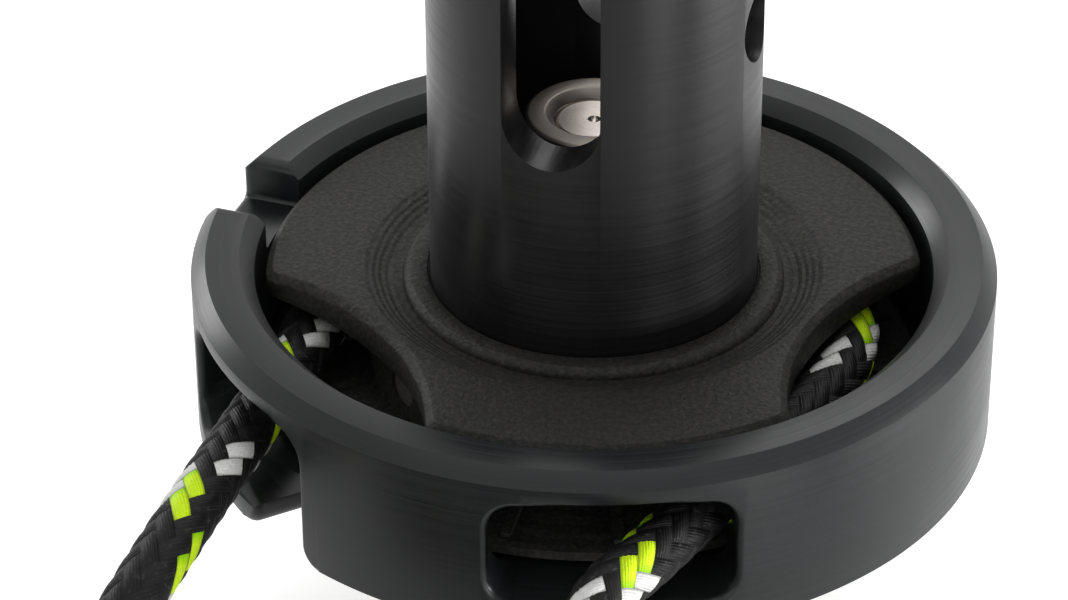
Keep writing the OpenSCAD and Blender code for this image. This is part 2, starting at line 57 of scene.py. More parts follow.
SHOULDER_Z, SHOULDER_T, FORK_SLOT_W, FORK_SLOT_Z, PIN_R, PIN_Z = 28.4, 4.0, 7.5, 48.25, 3.2, 52.3
NUT_R, NUT_Z, NUT_TOP, STUD_R, STUD_DROP, SPINDLE_R, SPINDLE_Z = 5.3, 34.2, 42.5, 3.0, 0.7, 4.0, 9.0
LINE_D, WRAP_R, LINE_Z, LEFT_HEADING, RIGHT_HEADING = 4.5, 20.2, 23.35, 11.5, -3.5
EXIT_TURN, NOTCH_TURN, LOBE_TURN, WINDOW_HALF = -14.1, -93.2, 18.2, 32.1
GROUND_Z = -7.5
# Rounding of the cage's openings that only the scene has: mouths, the notch's foot and its top corners
LIP, NOTCH_FOOT_R, NOTCH_TOP_R = 0.8, 0.4, 0.9
# Steps round a large and a small turned piece
LARGE_TURN, SMALL_TURN = 288, 128

# Strands of the line's cover in each direction, and the length in which one goes once round
STRANDS, LAY = 8, 18.0
# How squarely a strand is rounded across, and how far it sinks at the ends of the stretch that is on top
STRAND_POWER, STRAND_SINK = 2.4, 0.65
# Turn and run of the cover where the left and the right leg leave the wrap, in turns
LEFT_START, RIGHT_START = (0.2188, 0.0938), (0.3125, 0.4688)


def polar(r, azimuth, z=0.0):
    """Point at a radius and an azimuth counted from -Y towards +X."""
    a = radians(azimuth)
    return Vector((r * sin(a), -r * cos(a), z))


def linear(text):
    """Linear colour from an sRGB hex value."""
    values = [int(text[i:i + 2], 16) / 255 for i in (1, 3, 5)]
    return [v / 12.92 if v <= 0.04045 else ((v + 0.055) / 1.055) ** 2.4 for v in values] + [1.0]


def per(size):
    """Texture scale for a feature size in millimetres."""
    return 1 / (size * MM)


# Camera at the photograph's angle
camera = bpy.data.objects.new("camera", bpy.data.cameras.new("camera"))
scene.collection.objects.link(camera)
camera.location = Vector((71.57, -262.51, 201.58)) * MM
camera.rotation_euler = Euler((radians(57.074), radians(0.223), radians(16.085)))
camera.data.lens = 139.65
camera.data.sensor_width = 36
camera.data.clip_start = 0.01
camera.data.clip_end = 20
scene.camera = camera
scene.view_settings.view_transform = "Standard"


# Materials
def feed(node, inputs):
    """Gives a node's sockets their values or links."""
    for key, value in inputs.items():
        if isinstance(value, bpy.types.Node):
            value = value.outputs[0]
        if isinstance(value, bpy.types.NodeSocket):
            node.id_data.links.new(value, node.inputs[key])
        else:
            node.inputs[key].default_value = value
    return node


def add(tree, kind, inputs=None, **settings):
    """Adds a node with its settings, values and links."""
    node = tree.nodes.new("ShaderNode" + kind)
    for key, value in settings.items():
        setattr(node, key, value)
    return feed(node, inputs or {})


def start(name, **values):
    """New material, its shader with values that are the same all over, and its node adder."""
    mat = bpy.data.materials.new(name)
    mat.use_nodes = True
    shader = mat.node_tree.nodes["Principled BSDF"]
    feed(shader, {key.replace("_", " "): value for key, value in values.items()})
    return mat, shader, partial(add, mat.node_tree)


def turning(put, pitch):
    """Object place and the fine rings that a lathe tool leaves, with their pitch in millimetres."""
    place = put("TexCoord").outputs["Object"]
    xyz = put("SeparateXYZ", {0: place}).outputs
    flat = put("CombineXYZ", {0: xyz[0], 1: xyz[1]})
    radius = put("VectorMath", {0: flat}, operation="LENGTH").outputs["Value"]
    section = put("CombineXYZ", {0: radius, 1: xyz[2]})
    rings = put("TexNoise", {"Vector": section, "Scale": per(pitch), "Detail": 3.0, "Roughness": 0.6})
    return place, rings


def anodised(name, tones, rough, specular):
    """Black anodised aluminium, turned then dyed: a deep satin black with faint rings and a dry bloom.
    The rings are drawn about twice as coarse as a lathe leaves them, so that they show."""
    mat, shader, put = start(name, Specular_IOR_Level=specular, Anisotropic=0.6, Anisotropic_Rotation=0.25)
    place, rings = turning(put, 0.2)
    cloud = put("TexNoise", {"Vector": place, "Scale": per(6.0), "Detail": 3.0})
    speck = put("TexNoise", {"Vector": place, "Scale": per(0.12), "Detail": 2.0})
    tone = put("Mix", {0: cloud, 6: linear(tones[0]), 7: linear(tones[1])}, data_type="RGBA").outputs[2]
    streak = put("MapRange", {0: rings, 1: 0.42, 2: 0.75, 3: 0.0, 4: 0.4})
    tint = put("Mix", {0: streak, 6: tone, 7: linear(tones[2])}, data_type="RGBA").outputs[2]
    gloss = put("MapRange", {0: rings, 1: 0.3, 2: 0.7, 3: rough - 0.05, 4: rough + 0.06})
    bloom = put("MapRange", {0: cloud, 1: 0.3, 2: 0.7, 3: -0.03, 4: 0.03})
    relief = put("Math", {0: speck, 1: 0.4, 2: rings}, operation="MULTIPLY_ADD")
    feed(shader, {"Base Color": tint, "Roughness": put("Math", {0: gloss, 1: bloom}, operation="ADD"),
                  "Tangent": put("Tangent", direction_type="RADIAL", axis="Z"),
                  "Normal": put("Bump", {"Height": relief, "Strength": 0.16, "Distance": 0.03 * MM})})
    return mat


def sintered_nylon(name):
    """Sintered black nylon, dyed: a dry, sandy grain whose peaks are lightened grey as a painted highlight,
    with fine layer steps where the surface leans a little."""
    mat, shader, put = start(name, Specular_IOR_Level=0.2)
    coords = put("TexCoord").outputs
    place = coords["Object"]
    height = put("SeparateXYZ", {0: place}).outputs[2]
    upright = put("SeparateXYZ", {0: coords["Normal"]}).outputs[2]
    grain = put("TexNoise", {"Vector": place, "Scale": per(0.42), "Detail": 5.0, "Roughness": 0.65})
    pits = put("TexVoronoi", {"Vector": place, "Scale": per(0.36)})
    cloud = put("TexNoise", {"Vector": place, "Scale": per(5.0), "Detail": 3.0})
    layers = put("Math", {0: height, 1: per(0.12), 2: cloud}, operation="MULTIPLY_ADD")
    steps = put("Math", {0: layers, 1: 1.0}, operation="PINGPONG")
    tone = put("Mix", {0: cloud, 6: linear("#161515"), 7: linear("#1e1d1c")}, data_type="RGBA").outputs[2]
    # Painted highlight: the grain's peaks are lightened towards grey in the colour, as if light caught them
    painted_grain_highlight = put("MapRange", {0: grain, 1: 0.42, 2: 0.7, 3: 0.0, 4: 0.85})
    tint = put("Mix", {0: painted_grain_highlight, 6: tone, 7: linear("#353331")}, data_type="RGBA").outputs[2]
    sand = put("Math", {0: pits, 1: 0.35, 2: grain}, operation="MULTIPLY_ADD")
    leaning = put("MapRange", {0: upright, 1: 0.78, 2: 0.88, 3: 0.0, 4: 0.65})
    relief = put("Math", {0: steps, 1: leaning, 2: sand}, operation="MULTIPLY_ADD")
    feed(shader, {"Base Color": tint,
                  "Roughness": put("MapRange", {0: grain, 1: 0.3, 2: 0.7, 3: 0.66, 4: 0.5}),
                  "Normal": put("Bump", {"Height": relief, "Strength": 0.7, "Distance": 0.14 * MM})})
    return mat


def turned_metal(name, tones, rough):
    """Bare metal off the lathe: bright, with fine rings that smear the highlight."""
    mat, shader, put = start(name, Metallic=1.0)
    place, rings = turning(put, 0.1)
    cloud = put("TexNoise", {"Vector": place, "Scale": per(3.0), "Detail": 3.0})
    tone = put("Mix", {0: cloud, 6: linear(tones[0]), 7: linear(tones[1])}, data_type="RGBA").outputs[2]
    feed(shader, {"Base Color": tone,
                  "Roughness": put("MapRange", {0: rings, 1: 0.3, 2: 0.7, 3: rough - 0.06, 4: rough + 0.08}),
                  "Normal": put("Bump", {"Height": rings, "Strength": 0.3, "Distance": 0.02 * MM})})
    return mat


def acetal(name):
    """Machined natural acetal: waxy off-white with faint tool marks."""
    mat, shader, put = start(name)
    place, rings = turning(put, 0.2)
    cloud = put("TexNoise", {"Vector": place, "Scale": per(2.0), "Detail": 4.0})
    tone = put("Mix", {0: cloud, 6: linear("#d9d6cc"), 7: linear("#e6e3da")}, data_type="RGBA").outputs[2]
    feed(shader, {"Base Color": tone,
                  "Roughness": put("MapRange", {0: cloud, 1: 0.3, 2: 0.7, 3: 0.38, 4: 0.5}),
                  "Normal": put("Bump", {"Height": rings, "Strength": 0.2, "Distance": 0.03 * MM})})
    return mat


def webbing(name):
    """Woven polyester strap: dull black with a fine rib, 0.7 mm from thread to thread."""
    mat, shader, put = start(name, Specular_IOR_Level=0.2)
    place = put("TexCoord").outputs["Object"]
    weave = put("TexWave", {"Vector": place, "Scale": per(0.7) / (2 * pi), "Distortion": 0.6, "Detail": 2.0},
                wave_type="BANDS", bands_direction="DIAGONAL").outputs["Fac"]
    fuzz = put("TexNoise", {"Vector": place, "Scale": per(0.2), "Detail": 3.0})
    tone = put("Mix", {0: weave, 6: linear("#17181a"), 7: linear("#2b2c30")}, data_type="RGBA").outputs[2]
    feed(shader, {"Base Color": tone,
                  "Roughness": put("MapRange", {0: fuzz, 1: 0.3, 2: 0.7, 3: 0.75, 4: 0.9}),
                  "Normal": put("Bump", {"Height": weave, "Strength": 0.5, "Distance": 0.1 * MM})})
    return mat


def plaited_cover(name):
    """Plaited polyester cover, each strand over two and under two: black, with a pair of white strands one
    way and a pair of fluorescent ones the other way. UV u goes once round the line, v once in each lay."""
    mat, shader, put = start(name, Specular_IOR_Level=0.2)
    uv = put("UVMap", uv_map="plait").outputs[0]
    parts = put("SeparateXYZ", {0: uv}).outputs
    around = put("Math", {0: parts[0], 1: STRANDS}, operation="MULTIPLY")
    along = put("Math", {0: parts[1], 1: STRANDS}, operation="MULTIPLY")
    # Place across the strands that wind one way, a, and the other way, b
    a = put("Math", {0: around, 1: along}, operation="ADD")
    b = put("Math", {0: around, 1: along}, operation="SUBTRACT")
    a_id = put("Math", {0: a}, operation="FLOOR")
    b_id = put("Math", {0: b}, operation="FLOOR")
    a_in = put("Math", {0: a}, operation="FRACT")
    b_in = put("Math", {0: b}, operation="FRACT")
    # Crossings count in fours: strand a is on top in the first two, strand b in the last two
    crossing = put("Math", {0: a_id, 1: b_id}, operation="ADD")
    order = put("Math", {0: crossing, 1: 4.0}, operation="FLOORED_MODULO")
    b_on_top = put("Math", {0: order, 1: 1.5}, operation="GREATER_THAN")
    a_on_top = put("Math", {0: 1.0, 1: b_on_top}, operation="SUBTRACT")
    across = put("Mix", {0: b_on_top, 2: a_in, 3: b_in})
    a_run = put("Math", {0: order, 1: b_in}, operation="ADD")
    b_run = put("Math", {0: put("Math", {0: order, 1: a_in}, operation="ADD"), 1: 2.0}, operation="SUBTRACT")
    run = put("Mix", {0: b_on_top, 2: a_run, 3: b_run})
    top_id = put("Mix", {0: b_on_top, 2: a_id, 3: b_id})
    strand = put("Math", {0: top_id, 1: STRANDS}, operation="FLOORED_MODULO")
    # A strand swells across its width and along the stretch that is on top
    from_centre = put("Math", {0: across, 1: 2.0, 2: -1.0}, operation="MULTIPLY_ADD")
    off_centre = put("Math", {0: from_centre}, operation="ABSOLUTE")
    edge = put("Math", {0: off_centre, 1: STRAND_POWER}, operation="POWER")
    from_middle = put("Math", {0: run, 1: 1.0}, operation="SUBTRACT")
    end = put("Math", {0: from_middle, 1: from_middle}, operation="MULTIPLY")
    width_swell = put("Math", {0: 1.0, 1: edge}, operation="SUBTRACT")
    length_swell = put("Math", {0: end, 1: -STRAND_SINK, 2: 1.0}, operation="MULTIPLY_ADD")
    swell = put("Math", {0: width_swell, 1: length_swell}, operation="MULTIPLY")
    # Six fibres lie side by side across a strand, an angle of 38 in all
    fibre_angle = put("Math", {0: across, 1: 38.0}, operation="MULTIPLY")
    fibres = put("Math", {0: fibre_angle}, operation="SINE")
    fuzz = put("TexNoise", {"Vector": uv, "Scale": 60.0, "Detail": 4.0})
    specks = put("TexNoise", {"Vector": uv, "Scale": 26.0, "Detail": 3.0})
    # Painted glints: grey specks mixed into the black strands' colour stand in for highlights
    painted_glint = put("MapRange", {0: specks, 1: 0.6, 2: 0.75, 3: 0.0, 4: 0.6})
    dyed = put("Mix", {0: fuzz, 6: linear("#060606"), 7: linear("#121111")}, data_type="RGBA").outputs[2]
    black = put("Mix", {0: painted_glint, 6: dyed, 7: linear("#4c4a4a")}, data_type="RGBA").outputs[2]
    white = put("Mix", {0: fuzz, 6: linear("#b4b4b2"), 7: linear("#f2f2f0")}, data_type="RGBA").outputs[2]
    # A fluorescent strand is painted greener where it comes up from under its neighbours: painted shade,
    # since fluorescent yellow looks green in shade
    out_of_painted_shade = put("MapRange", {0: b_run, 1: 0.0, 2: 0.6, 3: 0.0, 4: 1.0})
    bright = put("Mix", {0: fuzz, 6: linear("#b4e000"), 7: linear("#e2ff2a")}, data_type="RGBA").outputs[2]
    yellow = put("Mix", {0: out_of_painted_shade, 6: linear("#8fd000"), 7: bright}, data_type="RGBA").outputs[2]
    white_pair = put("Math", {0: strand, 1: 1.5, 2: 0.6}, operation="COMPARE")
    yellow_pair = put("Math", {0: strand, 1: 3.5, 2: 0.6}, operation="COMPARE")
    is_white = put("Math", {0: a_on_top, 1: white_pair}, operation="MULTIPLY")
    is_yellow = put("Math", {0: b_on_top, 1: yellow_pair}, operation="MULTIPLY")
    marked = put("Mix", {0: is_white, 6: black, 7: white}, data_type="RGBA").outputs[2]
    tint = put("Mix", {0: is_yellow, 6: marked, 7: yellow}, data_type="RGBA").outputs[2]
    # Painted shade: the colour darkens towards near black where a strand sinks at its edges and ends, in the
    # creases between strands
    painted_crease_shade = put("MapRange", {0: swell, 1: 0.0, 2: 0.35, 3: 0.3, 4: 1.0})
    shaded = put("Mix", {0: painted_crease_shade, 6: linear("#040404"), 7: tint}, data_type="RGBA").outputs[2]
    relief = put("Math", {0: fibres, 1: 0.07, 2: swell}, operation="MULTIPLY_ADD")
    feed(shader, {"Base Color": shaded,
                  "Roughness": put("MapRange", {0: fuzz, 1: 0.3, 2: 0.7, 3: 0.5, 4: 0.7}),
                  "Normal": put("Bump", {"Height": relief, "Strength": 0.8, "Distance": 0.25 * MM})})
    return mat


CAGE_BLACK = anodised("anodised_cage", ("#111213", "#18191b", "#232527"), 0.34, 0.28)
TUBE_BLACK = anodised("anodised_tube", ("#0b0b0c", "#101011", "#19191a"), 0.34, 0.27)
NYLON = sintered_nylon("sintered_nylon")
STAINLESS = turned_metal("turned_stainless", ("#a59d96", "#c4bdb6"), 0.3)
NUT_GREY = turned_metal("turned_nut_steel", ("#6f6a65", "#837d77"), 0.42)
BRONZE = turned_metal("turned_bronze", ("#8f6f3d", "#ab8850"), 0.32)
ACETAL = acetal("machined_acetal")
STRAP = webbing("polyester_webbing")
LINE = plaited_cover("plaited_polyester")

FINISHES = {"anodised": CAGE_BLACK, "nylon": NYLON, "stainless": STAINLESS, "acetal": ACETAL,
            "bronze": BRONZE, "line_cover": LINE, "strap": STRAP}
for subpart in frame["record"]["subparts"]:
    mesh = nodes[subpart["node"]].data
    mesh.materials.clear()
    mesh.materials.append(FINISHES[subpart["material_slot"]])


# Mesh helpers
def link(name, bm, mat, smooth_angle=35.0):
    """Closes a bmesh into an object, sharp where faces meet at more than an angle."""
    bmesh.ops.recalc_face_normals(bm, faces=bm.faces)
    for face in bm.faces:
        face.smooth = True
    for edge in bm.edges:
        edge.smooth = len(edge.link_faces) == 2 and edge.calc_face_angle(0.0) < radians(smooth_angle)
    mesh = bpy.data.meshes.new(name)
    bm.to_mesh(mesh)
    bm.free()
    mesh.materials.append(mat)
    obj = bpy.data.objects.new(name, mesh)
    scene.collection.objects.link(obj)
    return obj


def stand_for(obj, node, body):
    """Puts an object in the place of a CAD node and its body."""
    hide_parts(node)
    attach(obj, body)


def spin(profile, steps, closed=True):
    """Turns a profile of (radius, height) in millimetres round the axis."""
    bm = bmesh.new()
    verts = [bm.verts.new((r * MM, 0, z * MM)) for r, z in profile]
    edges = [bm.edges.new(pair) for pair in zip(verts, verts[1:] + verts[:closed])]
    bmesh.ops.spin(bm, geom=verts + edges, cent=(0, 0, 0), axis=(0, 0, 1), angle=2 * pi, steps=steps,
                   use_merge=True)
    bmesh.ops.remove_doubles(bm, verts=bm.verts, dist=1e-7)
    return bm


def prism(outline, low, high, matrix):
    """Draws an outline in x and y out along z from low to high, and places it; millimetres."""
    bm = bmesh.new()
    face = bm.faces.new([bm.verts.new((x * MM, y * MM, low * MM)) for x, y in outline])
    grown = bmesh.ops.extrude_face_region(bm, geom=[face])["geom"]
    far_end = [v for v in grown if isinstance(v, bmesh.types.BMVert)]
    bmesh.ops.translate(bm, vec=(0, 0, (high - low) * MM), verts=far_end)
    bmesh.ops.transform(bm, matrix=matrix, verts=bm.verts)
    bmesh.ops.recalc_face_normals(bm, faces=bm.faces)
    return bm


def loft(rings, closed=False):
    """Skin over rings with as many points each, in millimetres, its two ends joined or capped."""
    bm = bmesh.new()
    loops = []
    for ring in rings:
        verts = [bm.verts.new(Vector(p) * MM) for p in ring]
        loops.append([bm.edges.new((v, verts[(i + 1) % len(verts)])) for i, v in enumerate(verts)])
    for near, far in zip(loops, loops[1:] + loops[:closed]):
        bmesh.ops.bridge_loops(bm, edges=near + far)
    if not closed:
        for loop in (loops[0], loops[-1]):
            bmesh.ops.edgeloop_fill(bm, edges=loop)
    bmesh.ops.recalc_face_normals(bm, faces=bm.faces)
    return bm


def arc(x, y, r, first, last, steps=8):
    """Points on an arc, its angles in degrees."""
    turns = [radians(first + (last - first) * i / steps) for i in range(steps + 1)]
    return [(x + r * cos(t), y + r * sin(t)) for t in turns]


def carve(bm, tools, operation="DIFFERENCE"):
    """Boolean of a body with tools, as a new bmesh."""
    body = link("carve_body", bm, NYLON)
    parts = [link("carve_tool", tool, NYLON) for tool in tools]
    for part in parts:
        modifier = body.modifiers.new("carve", "BOOLEAN")
        modifier.operation = operation
        modifier.solver = "EXACT"
        modifier.object = part
    result = bmesh.new()
    result.from_object(body, bpy.context.evaluated_depsgraph_get())
    for obj in [body] + parts:
        mesh = obj.data
        bpy.data.objects.remove(obj)
        bpy.data.meshes.remove(mesh)
    bmesh.ops.remove_doubles(result, verts=result.verts, dist=2e-6)
    bmesh.ops.dissolve_degenerate(result, edges=result.edges, dist=1e-6)
    return result


def ease(bm, width, segments=2, angle=35.0):
    """Rounds the sharp edges."""
    edges = [e for e in bm.edges if len(e.link_faces) == 2 and e.calc_face_angle(0.0) > radians(angle)]
    bmesh.ops.bevel(bm, geom=edges, offset=width * MM, offset_type="OFFSET", affect="EDGES",
                    segments=segments, profile=0.5, material=-1, clamp_overlap=True)
    return bm


def outward(azimuth):
    """Places an outline drawn in x and height so that it is drawn out from the axis at an azimuth."""
    return Matrix.Rotation(radians(azimuth), 4, "Z") @ Matrix.Rotation(radians(90), 4, "X")


def rounded_box(half, low, high, r):
    """Outline with round corners, counter-clockwise from its lower right corner."""
    points = arc(half - r, low + r, r, 270, 360) + arc(half - r, high - r, r, 0, 90)
    return points + arc(-half + r, high - r, r, 90, 180) + arc(-half + r, low + r, r, 180, 270)


# Line cage, each opening's outline in x and height, grown by g
def left_window(g):
    """Window with the line slot through the floor at its inner end. Where it has grown, the corner between
    the two stays a little above the slot's rounding, so that the outline never crosses itself."""
    half, high, low, r = WINDOW_W / 2, RIM_Z - RIM_BAND, FLOOR_Z, WINDOW_R
    slot_x, ease_z, below = half - SLOT_W, UNDER_Z + SLOT_EASE, UNDER_Z - 2
    corner_z = max(low - g, ease_z + 0.02)
    points = arc(half - r, high - r, r + g, 0, 90) + arc(r - half, high - r, r + g, 90, 180)
    points += arc(r - half, low + r, r + g, 180, 270) + [(slot_x - g, corner_z)]
    points += arc(slot_x - SLOT_EASE, ease_z, SLOT_EASE - g, 0, -90)
    points += [(slot_x - SLOT_EASE, below), (half + SLOT_EASE, below)]
    return points + arc(half + SLOT_EASE, ease_z, SLOT_EASE - g, 270, 180)


def right_window(g):
    return rounded_box(WINDOW_W / 2 + g, FLOOR_Z - g, RIM_Z - RIM_BAND + g, WINDOW_R + g)


def notch(g):
    """Notch that opens through the rim, its top corners rounded off."""
    half, low, r, top_r = NOTCH_W / 2, RIM_Z - NOTCH_DEPTH, NOTCH_FOOT_R, NOTCH_TOP_R
    top_x, top_z, above = half + top_r, RIM_Z - top_r, RIM_Z + 3
    points = arc(half - r, low + r, r + g, 270, 360) + arc(top_x, top_z, top_r - g, 180, 90)
    points += [(top_x, above), (-top_x, above)] + arc(-top_x, top_z, top_r - g, 90, 0)
    return points + arc(-half + r, low + r, r + g, 180, 270)


def opening(outline, start_r, azimuth):
    """Cutter for an opening through the cage wall, its mouth on the outer face rounded."""
    steps, proud, outside = 5, 0.03, CAGE_R + 2
    rings = [[(x, -start_r, z) for x, z in outline(0)]]
    for i in range(steps + 1):
        turn = radians(90 * i / steps)
        r = CAGE_R + proud - LIP * (1 - sin(turn))
        rings.append([(x, -sqrt(r * r - x * x), z) for x, z in outline(LIP * (1 - cos(turn)))])
    rings.append([(x, -outside, z) for x, z in outline(LIP)])
    bm = loft(rings)
    bmesh.ops.rotate(bm, cent=(0, 0, 0), matrix=Matrix.Rotation(radians(azimuth), 3, "Z"), verts=bm.verts)
    return bm


def make_cage():
    corner = 0.5
    profile = [(SPINDLE_HOLE_R, UNDER_Z), (CAGE_R - FOOT_CHAMFER, UNDER_Z), (CAGE_R, UNDER_Z + FOOT_CHAMFER),
               (CAGE_R, RIM_Z - RIM_CHAMFER), (CAGE_R - RIM_CHAMFER, RIM_Z), (CAGE_IN + RIM_CHAMFER, RIM_Z),
               (CAGE_IN, RIM_Z - RIM_CHAMFER), (CAGE_IN, FLOOR_Z + corner), (CAGE_IN - corner, FLOOR_Z),
               (SPINDLE_HOLE_R, FLOOR_Z)]
    tools = [opening(left_window, CAGE_IN - SLOT_REACH, EXIT_TURN - WINDOW_HALF),
             opening(right_window, CAGE_IN - SLOT_REACH, EXIT_TURN + WINDOW_HALF),
             opening(notch, CAGE_IN - 1, NOTCH_TURN)]
    bm = ease(carve(spin(profile, LARGE_TURN), tools), 0.22, angle=30)
    stand_for(link("cage_shell", bm, CAGE_BLACK, 40), "line_cage", "frame")


# Drum
def make_tube():
    inner_break, outer_break, under_shoulder = 0.4, 0.8, SHOULDER_Z - SHOULDER_T
    profile = [(TUBE_BORE_R, SHOULDER_Z), (TUBE_BORE_R, TUBE_TOP - inner_break),
               (TUBE_BORE_R + inner_break, TUBE_TOP), (TUBE_R - outer_break, TUBE_TOP),
               (TUBE_R, TUBE_TOP - outer_break), (TUBE_R, TUBE_Z), (BUSH_R, TUBE_Z),
               (BUSH_R, under_shoulder), (SHAFT_GAP_R, under_shoulder), (SHAFT_GAP_R, SHOULDER_Z)]
    half, above, reach = FORK_SLOT_W / 2, TUBE_TOP + 2, 20
    slot = [(half, above), (-half, above)] + arc(0, FORK_SLOT_Z, half, 180, 360, 24)
    hole = arc(0, PIN_Z, PIN_R, 0, 360, 64)[:-1]
    tools = [prism(slot, -reach, reach, outward(0)), prism(hole, -reach, reach, outward(90))]
    bm = ease(carve(spin(profile, LARGE_TURN), tools), 0.3, 3)
    stand_for(link("forked_tube", bm, TUBE_BLACK, 40), "drum_tube", "drum")


SCALLOP_ARM = SCALLOP_FLOOR + SCALLOP_R
# Bevel round the upper cheek's top, as inset and drop, with its two corners rounded
BEVEL = ((0, 0.7), (0.03, 0.6), (0.1, 0.5), (0.5, 0.1), (0.58, 0.03), (0.7, 0))


def lobed_outline(inset):
    """Three scallops and three lobes with round corners, drawn in by an inset, always with as many points."""
    arm = CHEEK_R - LOBE_R
    turn = acos((arm ** 2 + SCALLOP_ARM ** 2 - (SCALLOP_R + LOBE_R) ** 2) / (2 * arm * SCALLOP_ARM))
    points = []
    for k in range(3):
        base = radians(LOBE_TURN + 60 + 120 * k - 90)
        middle = SCALLOP_ARM * Vector((cos(base), sin(base)))
        corners = [arm * Vector((cos(base + s * turn), sin(base + s * turn))) for s in (-1, 1)]
        faces = [atan2(middle.y - c.y, middle.x - c.x) for c in corners]
        rims = [base - turn, base + turn]
        for centre, r, first, last, steps in (
                (corners[0], LOBE_R - inset, rims[0], faces[0], 8),
                (middle, SCALLOP_R + inset, faces[0] + pi, faces[1] + pi, 40),
                (corners[1], LOBE_R - inset, faces[1], rims[1], 8),
                (Vector((0, 0)), CHEEK_R - inset, rims[1], base + 2 * pi / 3 - turn, 48)):
            sweep = (last - first + pi) % (2 * pi) - pi
            for i in range(steps):
                a = first + sweep * i / steps
                points.append((centre.x + r * cos(a), centre.y + r * sin(a)))
    return points


def flank(r):
    """Height of the upper cheek's underside."""
    return ROOT_Z + (EDGE_Z - ROOT_Z) * max(0.0, r - ROOT_R) / (CHEEK_R - ROOT_R)


def dish(r):
    """Height of the upper cheek's top outside the collar."""
    share = min(1.0, max(0.0, (r - COLLAR_R) / DISH_W))
    return CHEEK_Z - DISH_DEPTH * (1 + cos(pi * share)) / 2


def edge_radius(azimuth):
    """Radius of the cheek's edge, its round corners left out."""
    off = radians((azimuth - LOBE_TURN) % 120 - 60)
    reach = SCALLOP_R ** 2 - (SCALLOP_ARM * sin(off)) ** 2
    return CHEEK_R if reach < 0 else min(CHEEK_R, SCALLOP_ARM * cos(off) - sqrt(reach))


def grip_ribs():
    """Ribs under the upper cheek, as far out as the scallops let them."""
    ribs = []
    root_gap, lobe_gap, scallop_gap, shortest = 0.6, 0.9, 0.5, 1
    r_in = ROOT_R + root_gap
    for k in range(RIBS):
        azimuth = 360 * k / RIBS
        edge = min(edge_radius(azimuth + d) for d in (-2, 0, 2))
        r_out = min(CHEEK_R - lobe_gap, edge - scallop_gap)
        if r_out - r_in > shortest:
            side = [(r_in, flank(r_in) + RIB_SUNK), (r_in, flank(r_in) - RIB_H),
                    (r_out, flank(r_out) - RIB_H), (r_out, flank(r_out) + RIB_SUNK)]
            ribs.append(prism(side, -RIB_W / 2, RIB_W / 2, outward(azimuth - 90)))
    return ribs


def make_cheek():
    under_break, dish_steps, ring_gap = 0.15, 16, 0.03
    outline = lobed_outline(0)
    inner = lobed_outline(BEVEL[-1][0])

    def circle(r, z):
        return [(r * x / hypot(x, y), r * y / hypot(x, y), z) for x, y in outline]

    rings = [circle(HUB_R, ROOT_Z), circle(ROOT_R, ROOT_Z)]
    rings.append([(x, y, flank(hypot(x, y))) for x, y in lobed_outline(under_break)])
    rings.append([(x, y, flank(hypot(x, y)) + under_break) for x, y in outline])
    for inset, drop in BEVEL:
        rings.append([(x, y, min(CHEEK_Z - drop, dish(hypot(x, y)))) for x, y in lobed_outline(inset)])
    for j in range(dish_steps + 1):
        ring = []
        for x, y in inner:
            edge = hypot(x, y)
            r = min(COLLAR_R + DISH_W * (1 - j / dish_steps), edge - ring_gap * (j + 1))
            ring.append((r * x / edge, r * y / edge, dish(r)))
        rings.append(ring)
    top = CHEEK_Z - COLLAR_DROP
    shoulder = arc(COLLAR_R - COLLAR_ROUND, top - COLLAR_ROUND, COLLAR_ROUND, 0, 90)
    rings += [circle(r, z) for r, z in shoulder]
    rings += [circle(HUB_R + 0.3, top), circle(HUB_R, top - 0.25)]
    bm = carve(loft(rings, True), grip_ribs(), "UNION")
    stand_for(link("grip_cheek", bm, NYLON, 50), "upper_cheek", "drum")


# Spindle end
def make_nut():
    bore, top_break = STUD_R + 0.05, 0.25
    profile = [(bore, NUT_Z), (NUT_R, NUT_Z), (NUT_R, NUT_TOP - top_break), (NUT_R - top_break, NUT_TOP),
               (bore + STUD_DROP, NUT_TOP), (bore, NUT_TOP - STUD_DROP)]
    bm = ease(spin(profile, SMALL_TURN), 0.08, angle=30)
    stand_for(link("round_nut", bm, NUT_GREY, 40), "spindle_nut", "frame")


def make_spindle():
    top, foot_break, top_break = NUT_TOP - STUD_DROP, 0.4, 0.25
    centre_mark = [(0.5, top), (0.42, top - 0.12), (0, top - 0.5)]
    profile = [(0, SPINDLE_Z), (SPINDLE_R - foot_break, SPINDLE_Z), (SPINDLE_R, SPINDLE_Z + foot_break),
               (SPINDLE_R, NUT_Z), (STUD_R, NUT_Z), (STUD_R, top - top_break), (STUD_R - top_break, top)]
    bm = spin(profile + centre_mark, SMALL_TURN, False)
    stand_for(link("spindle_shaft", bm, STAINLESS, 30), "spindle", "frame")


def make_fork():
    """The CAD fork with its edges broken."""
    bm = bmesh.new()
    bm.from_mesh(nodes["lower_fork"].data)
    bmesh.ops.remove_doubles(bm, verts=bm.verts, dist=1e-6)
    bmesh.ops.dissolve_limit(bm, angle_limit=radians(0.5), verts=bm.verts, edges=bm.edges)
    stand_for(link("clevis_fork", ease(bm, 0.25), STAINLESS, 40), "lower_fork", "frame")


# Furling line, in the turned frame of its two exits
LEFT_POINTS = [(-12.8, -39, 23), (-12.3, -45, 21.4), (-12.8, -50.5, 17.8), (-14.2, -55.5, 13),
               (-16.2, -60, 8), (-18.6, -64.5, 3.4), (-21.4, -69.5, -0.6), (-24.2, -75, -3.2),
               (-26.6, -81, -4.3), (-27.8, -87.5, -4.45), (-28, -94, -4.45)]
RIGHT_POINTS = [(43.7, -86.5, 13.6), (42.2, -79, 13.7), (39.2, -71.5, 13.9), (35.2, -64.5, 14.6),
                (30.8, -58, 15.9), (26.4, -51.5, 17.7), (22.4, -45, 19.9), (19.6, -38, 22.1)]
